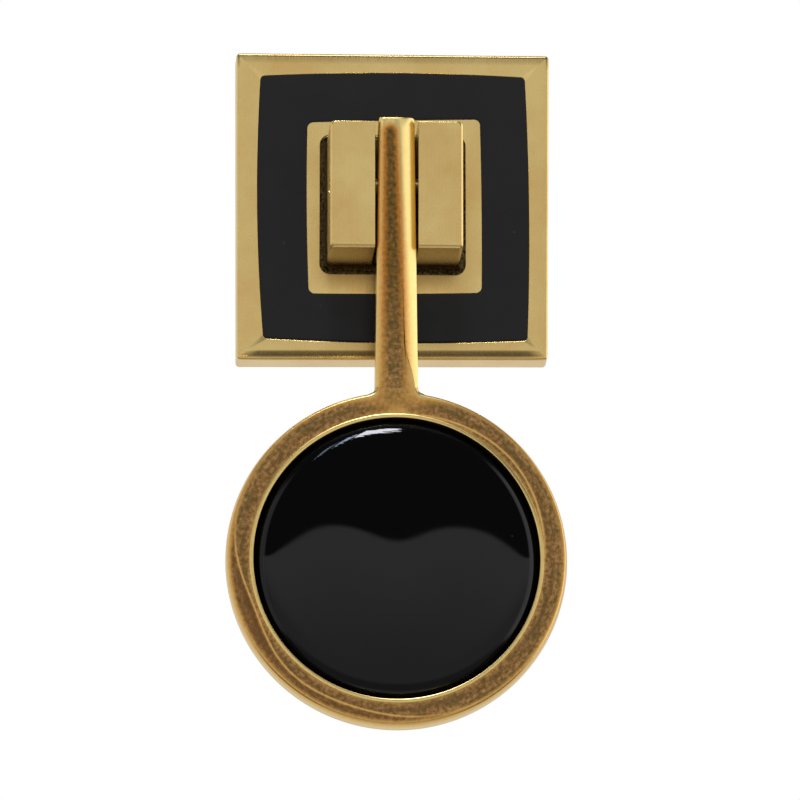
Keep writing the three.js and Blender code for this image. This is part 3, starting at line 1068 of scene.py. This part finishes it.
# Steel with a thin zinc plating: grey, slightly cloudy, with a fine matt grain.
def zincSteel():
    m = plating
    material, add = newMaterial("zinc plated steel")
    where = add("TexCoord", out="Object")
    stain = add("TexNoise", {"Vector": where, "Scale": perMetre(m["stain"]), "Detail": 3.0})
    grain = add("TexNoise", {"Vector": where, "Scale": perMetre(m["grain"]), "Detail": 2.0})
    colour = add("ValToRGB", {"Fac": stain}, stops=[
        (0.35, linear(m["bright"])), (0.7, linear(m["dull"]))], out="Color")
    smooth, coarse = m["roughness"]
    rough = add("MapRange", {
        "Value": stain, "From Min": 0.3, "From Max": 0.7, "To Min": smooth, "To Max": coarse})
    closeMaterial(add, m, grain, {"Base Color": colour, "Metallic": 1.0, "Roughness": rough})
    return material


oiled = {
    "dark": "#3B2E20",
    "rub": "#6B5638",
    "wear": 1.2,
    "roughness": 0.42,
    "bump": 0.2,
    "bumpHeight": 0.02,
}


# A steel pin gone brown with old oil, rubbed a little lighter where it turns.
def oiledSteel():
    m = oiled
    material, add = newMaterial("oiled brown steel")
    where = add("TexCoord", out="Object")
    wear = add("TexNoise", {"Vector": where, "Scale": perMetre(m["wear"]), "Detail": 4.0})
    colour = add("ValToRGB", {"Fac": wear}, stops=[
        (0.4, linear(m["dark"])), (0.68, linear(m["rub"]))], out="Color")
    closeMaterial(add, m, wear, {"Base Color": colour, "Metallic": 1.0, "Roughness": m["roughness"]})
    return material


def dress(piece, material, body, node):
    piece.data.materials.clear()
    piece.data.materials.append(material)
    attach(piece, body)
    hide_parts(node)


brushedBrass = satinBrass()
tarnishedBrass = agedBrass()
enamel = inlayEnamel()
glass = domeGlass()
zinc = zincSteel()
brownSteel = oiledSteel()
dress(plateCasting, brushedBrass, "fixed_mount", "back_plate")
dress(plateInlay, enamel, "fixed_mount", "plate_enamel")
dress(clevisBlock, brushedBrass, "fixed_mount", "pivot_block")
dress(crossPin, brownSteel, "fixed_mount", "hinge_pin")
dress(fixingScrew, zinc, "fixed_mount", "mounting_screw")
dress(flatWasher, zinc, "fixed_mount", "screw_washer")
dress(pendantCasting, tarnishedBrass, "pendant", "drop_pendant")
dress(domedDisc, glass, "pendant", "pendant_disc")
print("materials set")


# ---- floor, light and camera ----

studio = {
    "cameraDistance": 3.0,
    "cameraAzimuth": -2.5,
    "cameraElevation": -12.0,
    "frameSize": 0.1141,  # what the frame spans at the object
    "sensorWidth": 36.0,
    "aim": (0.00078, -0.012, -0.0296),
    "floorDrop": 0.8,
    "floorHalf": 1.5,
    "baseLevel": 0.07,  # the light from where there is no card
    "lightAim": (0, -0.01, -0.03),
    "lightDistance": 1.0,
}


def direction(azimuth, elevation):
    a, e = math.radians(azimuth), math.radians(elevation)
    return Vector((math.sin(a) * math.cos(e), -math.cos(a) * math.cos(e), math.sin(e)))


def makeFloor():
    side = studio["floorHalf"]
    z = -studio["floorDrop"]
    mesh = bpy.data.meshes.new("floor")
    corners = [(right * side, up * side, z) for right, up in quarters]
    mesh.from_pydata(corners, [], [(0, 1, 2, 3)])
    floor = bpy.data.objects.new("floor", mesh)
    bpy.context.scene.collection.objects.link(floor)
    material, add = newMaterial("matt white board")
    shader = add("BsdfPrincipled", {"Base Color": linear("#E8E8E6"), "Roughness": 0.8})
    add("OutputMaterial", {"Surface": shader})
    mesh.materials.append(material)
    floor.visible_glossy = False  # the cards below light the undersides instead


def makeCamera():
    s = studio
    data = bpy.data.cameras.new("camera")
    camera = bpy.data.objects.new("camera", data)
    bpy.context.scene.collection.objects.link(camera)
    back = direction(s["cameraAzimuth"], s["cameraElevation"])
    camera.location = Vector(s["aim"]) + back * s["cameraDistance"]
    camera.rotation_mode = "QUATERNION"
    camera.rotation_quaternion = (-back).to_track_quat("-Z", "Y")
    data.sensor_width = s["sensorWidth"]
    data.lens = s["sensorWidth"] * s["cameraDistance"] / s["frameSize"]
    data.clip_start, data.clip_end = 0.05, 20.0
    bpy.context.scene.camera = camera


def softbox(name, azimuth, elevation, width, height, power, colour):
    data = bpy.data.lights.new(name, "AREA")
    data.shape = "RECTANGLE"
    data.size, data.size_y = width, height
    data.energy = power
    data.color = linear(colour)[:3]
    light = bpy.data.objects.new(name, data)
    bpy.context.scene.collection.objects.link(light)
    away = direction(azimuth, elevation)
    light.location = Vector(studio["lightAim"]) + away * studio["lightDistance"]
    light.rotation_mode = "QUATERNION"
    light.rotation_quaternion = away.to_track_quat("Z", "Y")
    light.visible_camera = False


# Soft cards round the object, each a box of azimuths and elevations in degrees with soft edges.
# Azimuth 0 is in front, 90 to the object's right.
cards = [
    {"azimuth": (-46, 52), "elevation": (-24, 14.8), "soft": 0.4, "softLow": 8.0, "level": 0.5},
    {"azimuth": (-60, 60), "elevation": (5, 14.8), "soft": 0.5, "softLow": 9.0, "level": 0.3},
    {"azimuth": (-60, 60), "elevation": (-66, -24), "soft": 8.0, "level": 0.22},
    {"azimuth": (54, 122), "elevation": (-25, 45), "soft": 6.0, "level": 1.15},
    {"azimuth": (-122, -48), "elevation": (-25, 40), "soft": 6.0, "level": 0.6},
    {"azimuth": (118, 400), "elevation": (-60, 85), "soft": 10.0, "level": 0.66, "bothSides": True},
    {"azimuth": (-400, 400), "elevation": (66, 100), "soft": 8.0, "level": 0.15},
    {"azimuth": (-400, 400), "elevation": (-110, -62), "soft": 8.0, "level": 0.5},
]


def makeWorld():
    world = bpy.data.worlds.new("studio")
    bpy.context.scene.world = world
    world.use_nodes = True
    world.node_tree.nodes.clear()
    add = partial(addNode, world.node_tree)
    away = add("TexCoord", out="Generated")
    parts = add("SeparateXYZ", {"Vector": away}).node.outputs
    ahead = add("Math", {0: parts["Y"], 1: -1.0}, operation="MULTIPLY")
    turn = add("Math", {0: parts["X"], 1: ahead}, operation="ARCTAN2")
    azimuth = add("Math", {0: turn}, operation="DEGREES")
    rise = add("Math", {0: parts["Z"]}, operation="ARCSINE")
    elevation = add("Math", {0: rise}, operation="DEGREES")
    total = studio["baseLevel"]
    for card in cards:
        around = azimuth
        if card.get("bothSides"):
            around = add("Math", {0: azimuth}, operation="ABSOLUTE")
        level = card["level"]
        for value, (low, high) in ((around, card["azimuth"]), (elevation, card["elevation"])):
            for edge, inward in ((low, 1), (high, -1)):
                soft = card["soft"]
                if value is elevation and inward == 1:
                    soft = card.get("softLow", soft)
                fade = add("MapRange", {
                    "Value": value,
                    "From Min": edge - inward * soft,
                    "From Max": edge + inward * soft,
                }, interpolation_type="SMOOTHSTEP")
                level = add("Math", {0: fade, 1: level}, operation="MULTIPLY")
        total = add("Math", {0: level, 1: total}, operation="ADD")
    lit = add("Background", {"Color": total, "Strength": 1.0})
    plain = add("Background", {"Color": (1, 1, 1, 1), "Strength": 1.0})
    seen = add("LightPath", out="Is Camera Ray")
    mix = add("MixShader", {0: seen, 1: lit, 2: plain})
    add("OutputWorld", {"Surface": mix})


makeFloor()
makeCamera()
makeWorld()
softbox("window", azimuth=-3, elevation=50, width=0.17, height=0.28, power=4.5, colour="#F4F7FF")
softbox("window beside", azimuth=-15, elevation=46, width=0.08, height=0.22, power=0.8, colour="#D6E6FF")
softbox("far window", azimuth=-25, elevation=42, width=0.08, height=0.16, power=0.25, colour="#C8DCFF")
bpy.context.scene.view_settings.view_transform = "Standard"
bpy.context.scene.view_settings.look = "None"
print("studio set")
